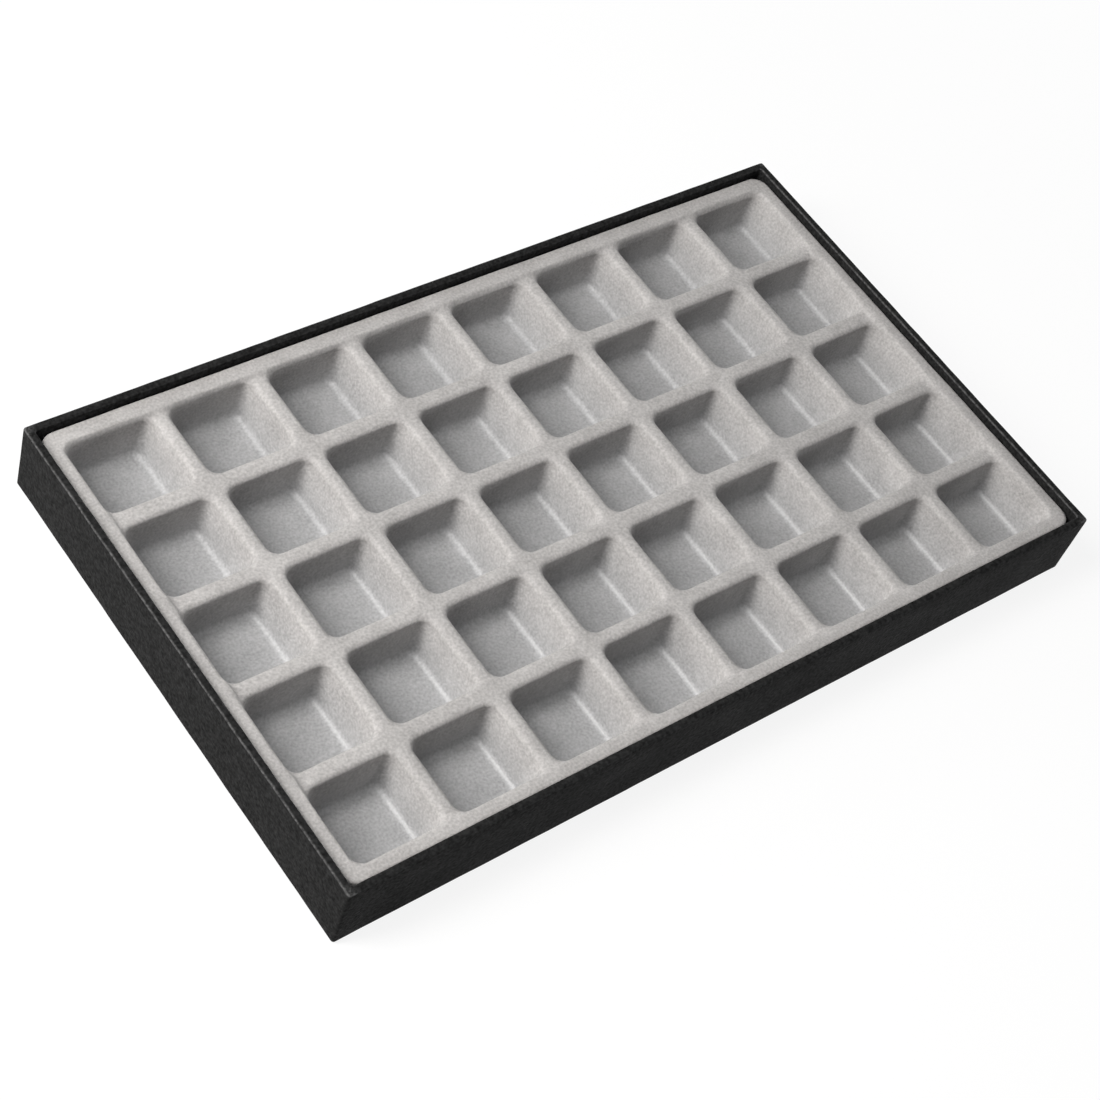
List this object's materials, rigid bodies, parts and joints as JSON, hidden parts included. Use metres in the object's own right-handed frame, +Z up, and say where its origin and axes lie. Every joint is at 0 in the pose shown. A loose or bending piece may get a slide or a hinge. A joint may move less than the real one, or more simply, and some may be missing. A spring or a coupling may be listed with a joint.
{
  "type": "jewelry display tray",
  "caption": "Shallow rectangular leatherette-covered tray with a loose flocked insert formed into a grid of open compartments for rings and small jewellery.",
  "frame": {"origin": "centre of the rectangle that the tray covers, at the height of the surface it rests on", "axes": "+X along the long side, +Y along the short side towards the far long wall, +Z up out of the compartments"},
  "size_m": [0.35, 0.21, 0.032],
  "materials": {
    "fibreboard": "matte",
    "kraft_paper": "matte",
    "leatherette": "satin",
    "suede_paper": "matte",
    "lining_cloth": "matte",
    "corrugated_board": "matte",
    "flocked_sheet": "matte"
  },
  "bodies": {
    "frame": {"base_board": "fibreboard", "near_wall_board": "fibreboard", "far_wall_board": "fibreboard", "left_wall_board": "fibreboard", "right_wall_board": "fibreboard", "corner_stays": "kraft_paper", "leatherette_wrap": "leatherette", "underside_cover": "suede_paper", "floor_lining": "lining_cloth", "support_pad": "corrugated_board"},
    "insert": {"compartment_insert": "flocked_sheet"}
  },
  "joints": [
    {"name": "insert_lift", "type": "slide", "parent": "frame", "child": "insert", "axis": [0, 0, 1], "range_m": [0, 0.035]}
  ]
}
